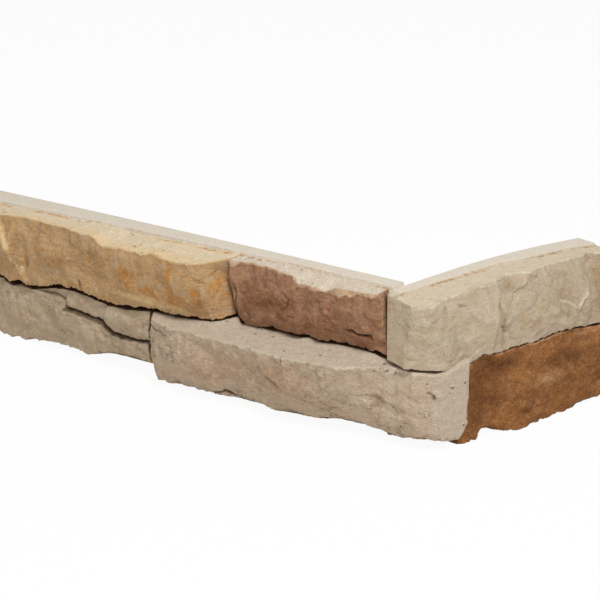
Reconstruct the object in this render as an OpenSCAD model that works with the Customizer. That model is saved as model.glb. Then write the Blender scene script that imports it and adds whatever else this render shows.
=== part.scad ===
// Corner piece of split-face stone cladding, cast in one piece from coloured concrete.
// Two courses of three stones each lap over one another at the corner. The origin is the
// foot of the inner corner, where the two flat backs meet. The long leg runs along -X with
// its back on the plane y = 0, the short leg runs along +Y with its back on x = 0.

/* [Whole piece] */
// Back of the long leg, from the inner corner to its far end
long_len = 440; // [330:5:600]
// Back of the short leg, from the inner corner to its far end
short_len = 190; // [150:5:300]
// Height of the upper course at the back
upper_h = 47; // [40:1:60]
// Height of the lower course at the back
lower_h = 53; // [45:1:65]

/* [Backing] */
// Thickness of the plain backing at the corner
backing_t = 15; // [12:0.5:18]
// Thickness of the backing at the far end of the long leg
backing_far_t = 23; // [15:0.5:28]
// Thickness of the backing at the far end of the short leg
backing_side_t = 17; // [12:0.5:20]
// Rise of the long leg's top edge from its far end to the corner
long_bow = 1.6; // [0:0.1:4]
// Rise of the short leg's top edge at mid length
short_bow = 3; // [0:0.1:5]
// How far the short leg's top starts below the long leg's far end
seam_step = 1; // [0:0.1:2]
// Height of the eased edge under the backing
eased_h = 6; // [2:0.5:10]

/* [Stones of the upper course] */
// Length of the second stone along its foot, from the inner corner to its joint with the first
russet_len = 127; // [90:1:180]
// How far the corner stone stands out past the long leg's back
cream_lap = 26; // [22:1:34]

/* [Stones of the lower course] */
// Joint between the two stones of the long leg, from the inner corner
rose_len = 203; // [150:1:260]
// How far the corner stone reaches past the short leg's back
rose_lap = 50; // [44:1:56]
// Length of the corner stone's smooth end that is left open behind the inner corner
rose_return = 10; // [6:1:20]

/* [Joints and faces] */
// Width of the open joint between two stones of a course
joint_w = 2; // [1:0.5:4]
// Height by which an upper stone clears the ledge under it
bed_gap = 1.5; // [1:0.5:4]
// Draft of the far ends, in mm for each mm of depth
end_draft = 0.25; // [0:0.05:0.35]
// Height of the rough relief
rough = 1.2; // [0:0.2:3]
// Height of the split facets
facet_h = 2.8; // [0:0.2:5]
// Usual length of a split facet
facet_len = 22; // [16:1:34]
// Greatest bulge of a face between its upper and lower edge
belly = 3; // [0:0.5:6]

/* [Hidden] */
total_h = lower_h + upper_h;
// Spacing of the stations along a stone, and number of steps down its face
station = 5;
face_steps = 11;
// Width over which a ledge of a face steps up, in halves
ledge_soft = 3.5;
// The stones' own backs lie this deep inside the backing, and this far above its foot
root_d = 5;
root_h = 1.5;
// The stones' tops start this far below the backing's top
roof_drop = 0.8;
// An upper stone's underside runs back this far behind the foot of its face
sole_run = 5;
// Fall of a lower stone's open ledge towards its front edge, in mm for each mm of depth, on the
// plain stones and on the corner stone, and how far a ledge may rise past the course joint
ledge_fall = 0.1;
rose_ledge_fall = 0.2;
ledge_rise = 4;
// The backing reaches this far past the stones' far ends
end_inset = 0.6;
// Length over which a slanted end straightens out
fade_len = 30;
// Number of stretches that the bowed backing of a leg is made of
backing_steps = 8;
// Slant of the joint between the first two stones, and of both sides of the corner stone's seam
joint_slant = 0.22;
seam_slant = 0.12;
// How far the second stone's back runs past the inner corner
russet_tuck = 1.5;
// Depth of the corner stone's open side in front of the short leg's back, at its top and foot
cream_side = [4, 10];
// Height at which the underside of the lower corner stone's open end is cut away
return_h = 12;
// How far the stone that starts at the corner stone's back runs into it
brown_tuck = 8;

// Lengths for which the edge lists are drawn
drawn_long = 440;
drawn_short = 190;
drawn_russet = 127;
drawn_cream_lap = 26;
drawn_rose = 203;
drawn_rose_lap = 50;

// Edges are lists of [distance from the inner corner, depth in front of the back, height].
// Heights of the upper course are measured down from the top and up from the course joint.
ochre_top = [
    [440, 47, 3], [362, 48, 3], [341, 44, 2.5], [287, 46, 2.5], [269, 49, 3], [260, 47, 3],
    [251, 49, 6.5], [243, 50, 8], [224, 50, 6.5], [201, 50, 6.5], [193, 49, 4.5],
    [182, 50, 6], [162, 50, 6.5], [150, 49, 5.5], [141, 47, 4.5], [135.5, 42, 3.5],
    [131.5, 34, 2.8], [128, 26, 2.5],
];
ochre_foot = [
    [440, 44, -4], [371, 44, -3.5], [359, 44, -8], [349, 44, -4.5], [336, 44, -6.5],
    [320, 44, -4], [302, 44, 0], [288, 43, 0.5], [267, 42, -2], [243, 40, -5],
    [228, 40, -3], [197, 40, 0.5], [182, 40, -0.5], [162, 40, 1.5], [142, 39, 3],
    [136, 36, 4], [131, 31, 5.5], [128, 27, 6.5],
];
russet_top = [
    [126, 27, 3], [122, 32, 3], [117, 31, 2.5], [111, 28, 2], [99, 29, 2], [74, 30, 3],
    [68, 30, 8], [52, 31, 7.5], [44, 31, 9], [32, 31, 4.5], [14, 32, 3.5], [2, 32, 3], [-2, 27, 2.5],
];
russet_foot = [
    [126, 25, 0.5], [118, 25, 1], [91, 24, 3], [74, 24, 2], [63, 24, 4.5], [55, 24, 3],
    [41, 24, 4.5], [33, 24, 5], [17, 24, 5.5], [4, 24, 5], [-2, 23, 3.5],
];
cream_top = [
    [-26, 24, 3], [-23, 33, 3], [-18.6, 41.5, 2.5], [-10, 39, 2], [-1, 36, 1.5], [22, 36, 1.5],
    [40, 38, 1.5], [58, 34, 1.5], [68, 31, 1.5], [84, 38, 1.5], [117, 34, 1.5],
    [133, 36, 1.5], [159, 31, 1.5], [168, 34, 1.5], [190, 33, 1.5],
];
cream_foot = [
    [-26, 26, 0.5], [-19, 36, 0.5], [-13, 46, 0], [-5, 48, -1.5], [1, 47, -3], [14, 46, -1], [26, 46, 2],
    [46, 46, 0], [62, 46, 0.5], [87, 46, -0.5], [108, 46, 1], [129, 46, 0.3], [156, 46, -2.4],
    [190, 45, -2],
];
// Heights of the lower course are measured down from the course joint and up from the floor.
grey_top = [
    [440, 42, 7], [371, 42, 6.5], [359, 42, 11], [336, 42, 9.5], [302, 42, 3], [288, 41, 3],
    [254, 40, 7], [228, 40, 6.5], [204, 41, 5],
];
grey_foot = [
    [440, 39, 2.2], [385, 39, 2.2], [360, 40, 1], [338, 38, 3.2], [312, 38, 6.3], [296, 38, 5.5],
    [275, 39, 4.6], [262, 38, 9], [245, 37, 13], [220, 37, 12], [204, 38.5, 12.4],
];
grey_sole = [[440, 28, 0], [360, 30, 0], [330, 22, 0], [285, 22, 0], [272, 14, 1], [204, 14, 1]];
rose_top = [
    [202, 39, 4.5], [199, 44, 4], [194, 49, 3.5], [186, 53, 4], [172, 56, 4.5], [125, 54, 4], [113, 55, 4],
    [96, 52, 4], [74, 54, 4], [46, 53, 4], [30, 51, 3.5], [12, 45, 3], [0, 37, 2],
    [-8, 32, 1.5], [-19, 29, 1], [-38, 26, 1], [-45, 22, 1.5], [-50, 16, 2],
];
rose_foot = [
    [202, 38, 2.5], [198, 41, 2.5], [190, 43, 3], [173, 43, 4], [144, 42, 4.5],
    [121, 41, 5.5], [111, 40, 7.5],
    [93, 40, 7.5], [80, 40, 5], [65, 38, 7.5], [49, 36, 5.5], [37, 35, 9], [17, 30, 9.5],
    [-1, 27, 9], [-5, 27, 7], [-28, 26, 6.5], [-36, 24, 9], [-43, 20, 7.5], [-50, 14, 6],
];
rose_sole = [
    [202, 26, 0], [80, 26, 0], [58, 22, 0], [40, 12, 1], [12, 12, 1], [0, 14, 0.8],
    [-14, 15, 0.6], [-19, 5, 0.5], [-30, 2, 0], [-41, -1, 2], [-50, -1.5, 4],
];
brown_top = [
    [2, 42, 3], [14, 45, 1.5], [26, 45, -1.5], [46, 45, 0.5], [62, 45, 0], [87, 46, 1],
    [108, 46, -0.5], [129, 46, 0.2], [156, 46, 2.8], [190, 45, 2.5],
];
brown_foot = [
    [2, 47, 0.3], [8, 50, 0.3], [16, 50, 0.5], [20, 49, 4.5], [25, 50, 8], [34, 50, 7],
    [44, 54, 0.5], [52, 57, 0.3], [63, 57, 0.5], [79, 56, 0.3], [98, 54, 0.6], [112, 54, 0.8],
    [122, 53, 3], [132, 53, 3], [151, 51, 1.5], [190, 51, 1],
];
brown_sole = [[2, 40, 0], [25, 40, 0], [34, 34, 0], [44, 40, 0], [52, 50, 0], [190, 47, 0]];

// Swellings and hollows of a face: [distance, height, half length, half height, rise].
ochre_swells = [
    [352, 76, 7, 30, 3], [262, 70, 26, 20, -3], [215, 66, 22, 18, 3], [160, 74, 24, 20, 3],
];
russet_swells = [[104, 74, 18, 18, 2], [58, 78, 16, 14, -2], [16, 70, 18, 16, 2]];
cream_swells = [
    [-8, 76, 16, 30, 1.5], [46, 78, 8, 30, 2], [66, 88, 12, 14, -2], [100, 72, 20, 22, 2],
    [140, 80, 9, 26, 2],
];
grey_swells = [[352, 26, 26, 18, 3], [240, 40, 30, 9, 2]];
rose_swells = [
    [150, 24, 34, 18, 4], [100, 34, 22, 10, -2], [60, 28, 26, 16, 3], [-2, 34, 16, 14, -2],
];
brown_swells = [
    [32, 30, 14, 16, 3], [60, 20, 12, 12, 4], [96, 30, 20, 12, 3], [128, 18, 18, 12, 3],
    [160, 34, 18, 14, 3], [40, 42, 26, 9, -3],
];

// Ledges of a face: [rise of the left side, length over which it falls back, points of the line].
ochre_ledges = [
    [3.4, 8, [[364, 98], [360.4, 85.5], [351.4, 74.5], [342.4, 64.4], [337, 50]]],
    [1.6, 6, [[208, 58], [187, 55.4], [171.6, 54], [151, 57], [134, 62]]],
];
russet_ledges = [[-1.6, 7, [[36, 66], [18, 66.5], [3, 63]]], [1.6, 8, [[84, 100], [76, 82], [86, 66]]]];
cream_ledges = [
    [4.2, 12, [[46.6, 50], [49.2, 69.4], [51.9, 82.6], [52.6, 91.4], [49.2, 103]]],
    [2, 6, [[74, 84], [78, 101]]],
    [2.2, 12, [[172, 88], [158.8, 76], [147.6, 69.5], [143.3, 63], [137.3, 68], [128.3, 66.7]]],
];
grey_ledges = [
    [-3.6, 14, [[200, 27.5], [208, 27], [228, 25.1], [248, 25.7], [260, 32.5], [275.7, 34.1], [296, 36.3]]],
    [2.2, 12, [[334, 45], [309, 43.5], [298, 40], [293, 33], [300, 20]]],
];
rose_ledges = [[-1.6, 8, [[24, 34], [8, 31], [-6, 31.5], [-16, 28.8], [-8, 20]]]];
brown_ledges = [[2.4, 9, [[150, 44], [120, 40], [92, 44], [74, 41]]]];

// Repeatable values from 0 to 1 on a square lattice
function lattice(i, j) = let (v = 437.585453 * sin(127.1 * i + 311.7 * j)) v - floor(v);
function ease(t) = t * t * (3 - 2 * t);
function blend(p, q, t) = p + (q - p) * t;
// Smooth noise from -0.5 to 0.5: eased blend of the four lattice values round a point
function noise(u, v) =
    let (i = floor(u), j = floor(v), f = ease(u - i), g = ease(v - j))
    blend(blend(lattice(i, j), lattice(i + 1, j), f),
          blend(lattice(i, j + 1), lattice(i + 1, j + 1), f), g) - 0.5;
// Rough relief: broad noise, and finer noise at half the size
function relief(a, z, seed) =
    1.8 * noise(a / 17 + seed, z / 13 + seed) + 0.9 * noise(a / 8 - seed, z / 7 + seed);
// Split facets: every cell of a jittered lattice has a tilted plane, and the planes are averaged
// with weights that fall off fast with the distance to the cell's point
function facet(u, v, seed) =
    let (i0 = floor(u), j0 = floor(v),
         cells = [for (i = [i0 - 1:i0 + 1], j = [j0 - 1:j0 + 1])
             let (du = u - i - lattice(i + seed, j), dv = v - j - lattice(i, j + seed))
             exp(-7 * (du * du + dv * dv)) * [1, lattice(i + 2 * seed, j) - 0.5
                 + 1.1 * du * (lattice(i, j + 2 * seed) - 0.5)
                 + 1.1 * dv * (lattice(i + seed, j + seed) - 0.5)]],
         total = sum(cells))
    total[1] / total[0];
// The facets with their borders bent by noise
function split(a, z, seed) =
    facet((a + 5 * noise(a / 15 + seed, z / 15)) / facet_len,
          (z + 5 * noise(a / 15, z / 15 + seed)) / facet_len, seed);
// Sum of the swellings, each a cosine hump that ends at its half length and half height
function swell(a, z, humps) =
    sum([for (h = humps)
        let (r = norm([(a - h[0]) / h[2], (z - h[1]) / h[3]]))
        r < 1 ? h[4] * (1 + cos(180 * r)) / 2 : 0]);
function sum(v) = [for (i = v) 1] * v;
// Distance to stretch k of a broken line, the side it is on, and how far along the line that is
function beside(p, line, k) =
    let (u = line[k], e = line[k + 1] - u, t = min(max((p - u) * e / (e * e), 0), 1))
    [norm(p - u - t * e), sign(cross(e, p - u)), (k + t) / (len(line) - 1)];
// Sum of the ledges: the left side of a line stands up, falls back with the distance from the
// line and runs out at both ends of it
function ledge(a, z, lines) =
    sum([for (l = lines)
        let (parts = [for (k = [0:len(l[2]) - 2]) beside([a, z], l[2], k)],
             gap = min([for (q = parts) q[0]]),
             near = [for (q = parts) if (q[0] == gap) q][0])
        l[0] * exp(-gap / l[1]) / (1 + exp(-2 * near[1] * gap / ledge_soft))
            * min(1, 0.5 + 4 * min(near[2], 1 - near[2]))]);
// Column k of an edge list at distance a
function at(edge, a, k) = lookup(a, [for (p = edge) [p[0], p[k]]]);
// Arched rise of a leg's top edge: one part is highest at the corner, the other at mid length
function bow(a, len, rise) =
    let (t = min(max(a / len, 0), 1)) rise[0] * cos(90 * pow(t, 1.5)) + rise[1] * sin(180 * t);

// One ring of points round a stone at distance a, from its root under the top, over the
// top edge, down the face and back under the foot. root, roof and sole are [depth, height]
// pairs of the hidden corners; face holds the stone's swellings, ledges and seed; ends holds
// the tilt and slant that lean the ring along the leg with depth and height.
function ring(a, top, foot, root, roof, sole, face, ends) =
    let (shape = concat(
        [root, roof, blend(roof, top, 0.6)],
        [for (i = [0:face_steps])
            let (t = i / face_steps, p = blend(top, foot, t), wall = sin(180 * t),
                 s = leant(a, p, ends), z = p[1])
            [p[0] + belly * wall + swell(s, z, face[0]) * min(1, 2 * wall)
                + ledge(s, z, face[1]) * min(1, 0.3 + 2 * wall)
                + rough * relief(s, z, face[2]) * (0.35 + 0.65 * wall)
                + facet_h * split(s, z, face[2]) * min(1, 0.25 + 2.2 * wall), z]],
        [sole]))
    [for (p = shape) [leant(a, p, ends), p[0], p[1]]];
function leant(a, p, ends) = a + ends[0] * p[0] + ends[1] * (p[1] - total_h / 2);

// Closed stone from rings of equal length: quads between the rings and a fan on each end
module loft(rings) {
    n = len(rings[0]);
    count = len(rings);
    ends = [sum(rings[0]) / n, sum(rings[count - 1]) / n];
    first = count * n;
    polyhedron(
        points = concat([for (r = rings) each r], ends),
        faces = concat(
            [for (k = [0:count - 2], i = [0:n - 1])
                let (p = k * n + i, q = k * n + (i + 1) % n)
                each [[p, q, q + n], [p, q + n, p + n]]],
            [for (i = [0:n - 1]) [first, (i + 1) % n, i]],
            [for (i = [0:n - 1]) [first + 1, (count - 1) * n + i, (count - 1) * n + (i + 1) % n]]),
        convexity = 8);
}

// Distances of the stations from a0 to a1, at most one station length apart
function stations(a0, a1) =
    let (n = ceil((a1 - a0) / station)) [for (i = [0:n]) a0 + (a1 - a0) * i / n];
// How much of an end's lean is left at distance a
function lean(a, end) = max(0, 1 - abs(a - end) / fade_len);

// A stone of the upper course between distances a0 and a1 of a leg; side is the depth of its
// open side before distance turn, at the top and at the foot
module upper_stone(a0, a1, top, foot, face, len, rise, near, far, drop = 0, turn = -1000, side = [0, 0]) {
    loft([for (a = stations(a0, a1))
        let (crown = total_h - drop + bow(a, len, rise),
             edge = [at(top, a, 1), crown - at(top, a, 2)],
             base = [at(foot, a, 1), lower_h + at(foot, a, 2) + bed_gap / 2],
             hidden = a < turn ? side : [root_d, root_d])
        ring(a, edge, base, [hidden[1], base[1] + bed_gap], [hidden[0], crown - roof_drop],
             [base[0] - sole_run, base[1] + bed_gap / 2], face, near * lean(a, a0) + far * lean(a, a1))]);
}

// A stone of the lower course, with a flat sole on the floor; its root may lie further back
// and higher before distance turn, where the stone goes round the corner
module lower_stone(a0, a1, top, foot, sole, fall, face, far = [0, 0], turn = -1000, turned = [0, 0]) {
    loft([for (a = stations(a0, a1))
        let (edge = [at(top, a, 1), lower_h - at(top, a, 2)],
             root = a < turn ? turned : [root_d, root_h])
        ring(a, edge, [at(foot, a, 1), at(foot, a, 2)], root,
             [root[0], min(edge[1] + fall * (edge[0] - root[0]), lower_h + ledge_rise)],
             [at(sole, a, 1), at(sole, a, 2)], face, far * lean(a, a1))]);
}

// Moves the first and the last point of an edge list, and the points between them in proportion
function stretch(edge, first, last) =
    let (a0 = edge[0][0], a1 = edge[len(edge) - 1][0])
    [for (p = edge) [p[0] + blend(first, last, (p[0] - a0) / (a1 - a0)), p[1], p[2]]];
// How far the lists' joints and ends have moved from where the lists were drawn
long_shift = long_len - drawn_long;
short_shift = short_len - drawn_short;
russet_shift = russet_len - drawn_russet;
rose_shift = rose_len - drawn_rose;
rose_lap_shift = drawn_rose_lap - rose_lap;
cream_shift = drawn_cream_lap - cream_lap;

module ochre_stone() color("#c9a468")
    upper_stone(russet_len + joint_w / 2, long_len - end_inset,
                stretch(ochre_top, long_shift, russet_shift), stretch(ochre_foot, long_shift, russet_shift),
                [ochre_swells, ochre_ledges, 3], long_len, [long_bow, 0],
                near = [0, joint_slant], far = [-end_draft, 0]);

module russet_stone() color("#96705a")
    upper_stone(-russet_tuck, russet_len - joint_w / 2,
                stretch(russet_top, russet_shift, 0), stretch(russet_foot, russet_shift, 0),
                [russet_swells, russet_ledges, 11], long_len, [long_bow, 0],
                near = [-end_draft, seam_slant], far = [0, joint_slant]);

module cream_stone() color("#c6b99f")
    upper_stone(-cream_lap, short_len - end_inset,
                stretch(cream_top, cream_shift, short_shift), stretch(cream_foot, cream_shift, short_shift),
                [cream_swells, cream_ledges, 23], short_len, [0, short_bow],
                near = [-end_draft, seam_slant], far = [-end_draft, 0],
                drop = seam_step, turn = -backing_t, side = cream_side);

module grey_stone() color("#a89a86")
    lower_stone(rose_len + joint_w / 2, long_len - end_inset,
                stretch(grey_top, long_shift, rose_shift), stretch(grey_foot, long_shift, rose_shift),
                stretch(grey_sole, long_shift, rose_shift), ledge_fall, [grey_swells, grey_ledges, 31],
                far = [-end_draft, 0]);

module rose_stone() color("#b7a28c")
    lower_stone(-rose_lap, rose_len - joint_w / 2,
                stretch(rose_top, rose_shift, rose_lap_shift),
                stretch(rose_foot, rose_shift, rose_lap_shift),
                stretch(rose_sole, rose_shift, rose_lap_shift), rose_ledge_fall,
                [rose_swells, rose_ledges, 43],
                turn = -backing_t, turned = [-rose_return, return_h]);

module brown_stone() color("#8a5a34")
    lower_stone(rose_return - brown_tuck, short_len - end_inset,
                stretch(brown_top, 0, short_shift), stretch(brown_foot, 0, short_shift),
                stretch(brown_sole, 0, short_shift), ledge_fall, [brown_swells, brown_ledges, 57],
                far = [-end_draft, 0]);

// Everything is drawn with distance along +X and depth along +Y, then laid on to its leg
module on_long_leg() rotate(180) children();
module on_short_leg() mirror([1, -1, 0]) children();

// Corners of the backing's section at distance a, with an eased lower front edge
function backing_ring(a, depth, height, tilt) =
    [for (p = [[0, 0], [depth - eased_h, 0], [depth, eased_h], [depth, height], [0, height]])
        [a + tilt * p[0], p[0], p[1]]];

// Plain backing of one leg, in straight stretches under its bowed top
module backing(a0, len, near_t, far_t, height, rise, near_tilt) color("#d6cbb8") {
    rings = [for (k = [0:backing_steps])
        let (a = blend(a0, len, k / backing_steps))
        backing_ring(a, blend(near_t, far_t, k / backing_steps), height + bow(a, len, rise),
                     k == 0 ? near_tilt : k == backing_steps ? -end_draft : 0)];
    for (k = [0:backing_steps - 1])
        hull()
            polyhedron(points = concat(rings[k], rings[k + 1]),
                       faces = [[0, 1, 2, 3, 4], [9, 8, 7, 6, 5]]);
}

module corner_piece() {
    union() {
        on_long_leg() {
            backing(0, long_len, backing_t, backing_far_t, total_h, [long_bow, 0], -end_draft);
            ochre_stone();
            russet_stone();
            grey_stone();
            rose_stone();
        }
        on_short_leg() {
            backing(-backing_t, short_len, backing_t, backing_side_t, total_h - seam_step, [0, short_bow], 0);
            cream_stone();
            brown_stone();
        }
    }
}

corner_piece();
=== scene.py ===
import bpy
import math
import numpy as np
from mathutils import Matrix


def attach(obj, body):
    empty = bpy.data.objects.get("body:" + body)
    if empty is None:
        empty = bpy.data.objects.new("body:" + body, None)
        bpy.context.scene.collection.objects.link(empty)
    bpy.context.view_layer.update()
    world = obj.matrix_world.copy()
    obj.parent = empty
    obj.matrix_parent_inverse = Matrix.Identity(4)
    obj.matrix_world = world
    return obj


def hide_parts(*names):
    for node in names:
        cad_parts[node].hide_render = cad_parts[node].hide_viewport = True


# Corner piece of split-face cladding, cast in pigmented concrete. All shapes are worked out in
# millimetres in the frame of the solids: origin at the foot of the inner corner, the long leg
# along -X with its back on y = 0, the short leg along +Y with its back on x = 0.
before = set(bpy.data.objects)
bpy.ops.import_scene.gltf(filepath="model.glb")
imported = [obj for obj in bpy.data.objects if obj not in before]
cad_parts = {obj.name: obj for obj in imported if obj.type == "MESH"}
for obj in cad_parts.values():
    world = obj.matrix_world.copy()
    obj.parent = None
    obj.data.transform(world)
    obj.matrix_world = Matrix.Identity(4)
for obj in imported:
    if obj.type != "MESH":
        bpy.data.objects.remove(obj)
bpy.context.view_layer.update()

layout = {
    "longLength": 440.0, "shortLength": 190.0, "upperHeight": 47.0, "lowerHeight": 53.0,
    "longRise": (1.6, 0.0), "shortRise": (0.0, 3.0), "seamStep": 1.0, "endDraft": 0.25, "jointWidth": 2.0,
    "bedGap": 1.5, "belly": 3.0, "rough": 1.2, "facetHeight": 2.8, "facetLength": 22.0,
    "rootDepth": 5.0, "rootHeight": 1.5,
    "endInset": 0.6, "fadeLength": 30.0,
    "gridStep": 0.66,  # mm between grid points along a stone
}
totalHeight = layout["upperHeight"] + layout["lowerHeight"]


def latticeValue(i, j):  # fractional part of a large sine of the cell numbers, as in the solids
    v = 437.585453 * np.sin(np.radians(127.1 * i + 311.7 * j))
    return v - np.floor(v)


def broadNoise(u, v):  # eased blend of the four lattice values round a point, -0.5 to 0.5
    i, j = np.floor(u), np.floor(v)
    f, g = u - i, v - j
    f, g = f * f * (3 - 2 * f), g * g * (3 - 2 * g)
    low = latticeValue(i, j) * (1 - f) + latticeValue(i + 1, j) * f
    high = latticeValue(i, j + 1) * (1 - f) + latticeValue(i + 1, j + 1) * f
    return low * (1 - g) + high * g - 0.5


tableOfChance = np.random.default_rng(5).random(8192)


def cellChance(i, j, k=0):  # one value of the table for each cell, picked by mixing the cell numbers
    mixed = (i.astype(np.int64) * 73856093) ^ (j.astype(np.int64) * 19349663) ^ (np.int64(1) * k * 83492791)
    return tableOfChance[(mixed ^ (mixed >> 13)) & 8191]


def grainNoise(points, size, octaves=3, seed=0):  # sum of smooth 3-D value noises, each half the size of the last
    total = np.zeros(points.shape[:-1])
    weight = 1.0
    for octave in range(octaves):
        p = points / size * 2 ** octave + seed * 7.31 + octave * 3.7
        cell = np.floor(p)
        f = p - cell
        f = f * f * (3 - 2 * f)
        i, j, k = [cell[..., n].astype(np.int64) for n in range(3)]
        value = 0
        for di in (0, 1):
            for dj in (0, 1):
                for dk in (0, 1):
                    part = ((f[..., 0] if di else 1 - f[..., 0]) * (f[..., 1] if dj else 1 - f[..., 1])
                            * (f[..., 2] if dk else 1 - f[..., 2]))
                    value = value + part * cellChance(i + di, j + dj, k + dk)
        total += weight * (value - 0.5)
        weight *= 0.5
    return total


def facetRelief(u, v, seed, crisp=7.0):
    # Each cell of a jittered lattice carries a tilted plane; the planes are averaged with weights
    # that fall off as a Gauss bell of the distance to the cell's point, so flat facets meet in creases
    i0, j0 = np.floor(u), np.floor(v)
    top, bottom = 0.0, 1e-9
    for di in (-1, 0, 1):
        for dj in (-1, 0, 1):
            i, j = i0 + di, j0 + dj
            du = u - i - latticeValue(i + seed, j)
            dv = v - j - latticeValue(i, j + seed)
            plane = (latticeValue(i + 2 * seed, j) - 0.5 + 1.1 * du * (latticeValue(i, j + 2 * seed) - 0.5)
                     + 1.1 * dv * (latticeValue(i + seed, j + seed) - 0.5))
            weight = np.exp(-crisp * (du * du + dv * dv))
            top, bottom = top + weight * plane, bottom + weight
    return top / bottom


def alongEdge(edge, a, column):  # value of an edge list at distance a, by straight lines between its points
    edge = sorted(edge)
    return np.interp(a, [p[0] for p in edge], [p[column] for p in edge])


def archedRise(a, length, rise):  # one part is highest at the corner, the other at mid length
    t = np.clip(a / length, 0, 1)
    return rise[0] * np.cos(np.pi / 2 * t ** 1.5) + rise[1] * np.sin(np.pi * t)


def swellings(a, z, humps):  # cosine humps that end at their half length and half height
    total = 0 * a
    for distance, height, halfLength, halfHeight, rise in humps:
        r = np.minimum(np.hypot((a - distance) / halfLength, (z - height) / halfHeight), 1)
        total = total + rise * (1 + np.cos(np.pi * r)) / 2
    return total


def lineDistance(a, z, line):  # distance to a broken line, with a plus sign on its left side
    best = np.full(a.shape, 1e9)
    side = np.ones(a.shape)
    reach = np.zeros(a.shape)
    for n, (p, q) in enumerate(zip(line[:-1], line[1:])):
        da, dz = q[0] - p[0], q[1] - p[1]
        t = np.clip(((a - p[0]) * da + (z - p[1]) * dz) / (da * da + dz * dz), 0, 1)
        gap = np.hypot(a - p[0] - t * da, z - p[1] - t * dz)
        nearer = gap < best
        best = np.where(nearer, gap, best)
        side = np.where(nearer, np.sign(da * (z - p[1]) - dz * (a - p[0])), side)
        reach = np.where(nearer, (n + t) / (len(line) - 1), reach)
    return best, side, reach


def grooves(a, z, cracks):  # bell-shaped grooves along broken lines that run out at both ends
    depth = 0 * a
    for crack in cracks:
        gap, side, reach = lineDistance(a + 1.2 * broadNoise(a / 3, z / 3), z + 1.2 * broadNoise(z / 3 + 9, a / 3), crack["line"])
        taper = np.minimum(1, 5 * np.minimum(reach, 1 - reach) + crack.get("open", 0))
        depth = np.maximum(depth, crack["depth"] * taper * np.exp(-(gap / crack["width"]) ** 2))
    return depth


def steps(a, z, ridges):  # the left side of a broken line stands up and falls back over the fade length
    total = 0 * a
    for ridge in ridges:
        gap, side, reach = lineDistance(a, z, ridge["line"])
        edge = 0.5 + 0.5 * np.tanh(side * gap / ridge["soft"])
        taper = np.clip(4 * np.minimum(reach, 1 - reach) + ridge.get("open", 0), 0, 1)
        total = total + ridge["rise"] * edge * np.exp(-gap / ridge["fade"]) * taper
    return total


def riseToFoot(x, y, z, footLine):
    # The lower stones' tops climb to the upper course: the height is raised towards the foot line's
    # own height less its gap, in full behind the line and eased out over 5 mm in front of it. The second value marks
    # the part behind the line, which is painted with shade
    gap, side, reach = lineDistance(x, y, [(p[0], p[1]) for p in footLine])
    place = reach * (len(footLine) - 1)
    goal = np.interp(place, np.arange(len(footLine)), [p[2] - p[3] for p in footLine])
    t = np.clip(np.where(side > 0, 1.0, 1 - gap / 5), 0, 1)
    return z + np.maximum(goal - z, 0) * t * t * (3 - 2 * t), np.clip((gap * side - 0.6) / 0.8, 0, 1)


def wobble(a, size, seed):  # one-dimensional noise for ragged edges
    return broadNoise(a / size + seed, 0 * a + seed * 1.7)


def makeMesh(name, rings, material, tags):
    # Closed surface of quads between neighbouring rings, with a fan of triangles at both ends
    count, around = rings.shape[:2]
    ends = np.stack([rings[0].mean(axis=0), rings[-1].mean(axis=0)])
    points = np.concatenate([rings.reshape(-1, 3), ends])
    k, i = np.meshgrid(np.arange(count - 1), np.arange(around), indexing="ij")
    j = (i + 1) % around
    quads = np.stack([k * around + i, (k + 1) * around + i, (k + 1) * around + j, k * around + j], axis=-1).reshape(-1, 4)
    i = np.arange(around)
    j = (i + 1) % around
    last = (count - 1) * around
    fans = np.concatenate([
        np.stack([np.full(around, count * around), i, j], axis=-1),
        np.stack([np.full(around, count * around + 1), last + j, last + i], axis=-1)])
    a, b, c = points[fans[:, 0]], points[fans[:, 1]], points[fans[:, 2]]
    volume = np.sum(a * np.cross(b, c))
    for first, second in ((1, 2), (2, 3)):
        a, b, c = points[quads[:, 0]], points[quads[:, first]], points[quads[:, second]]
        volume += np.sum(a * np.cross(b, c))
    if volume < 0:
        quads, fans = quads[:, ::-1], fans[:, ::-1]
    mesh = bpy.data.meshes.new(name)
    mesh.vertices.add(len(points))
    mesh.vertices.foreach_set("co", (points / 1000).ravel())
    corners = np.concatenate([quads.ravel(), fans.ravel()])
    mesh.loops.add(len(corners))
    mesh.loops.foreach_set("vertex_index", corners.astype(np.int32))
    starts = np.concatenate([np.arange(len(quads)) * 4, len(quads) * 4 + np.arange(len(fans)) * 3])
    mesh.polygons.add(len(starts))
    mesh.polygons.foreach_set("loop_start", starts.astype(np.int32))
    mesh.polygons.foreach_set("use_smooth", np.ones(len(starts), dtype=bool))
    mesh.update(calc_edges=True)
    mesh.validate()
    for tag, values in tags.items():
        flat = np.concatenate([values.ravel(), [values[0].mean(), values[-1].mean()]])
        mesh.attributes.new(tag, "FLOAT", "POINT").data.foreach_set("value", flat.astype(np.float32))
    mesh.materials.append(material)
    piece = bpy.data.objects.new(name, mesh)
    bpy.context.collection.objects.link(piece)
    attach(piece, "root")
    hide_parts("corner_piece")
    return piece


def surfaceNormals(rings):  # cross product of the grid's two directions, each as a central difference
    along = np.gradient(rings, axis=0)
    around = np.roll(rings, -1, axis=1) - np.roll(rings, 1, axis=1)
    normal = np.cross(along, around)
    return normal / (np.linalg.norm(normal, axis=-1, keepdims=True) + 1e-9)


def placeOnLeg(rings, leg):  # distance, depth and height to the frame's X, Y and Z
    a, d, z = rings[..., 0], rings[..., 1], rings[..., 2]
    return np.stack([-a, -d, z] if leg == "long" else [d, a, z], axis=-1)


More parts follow.
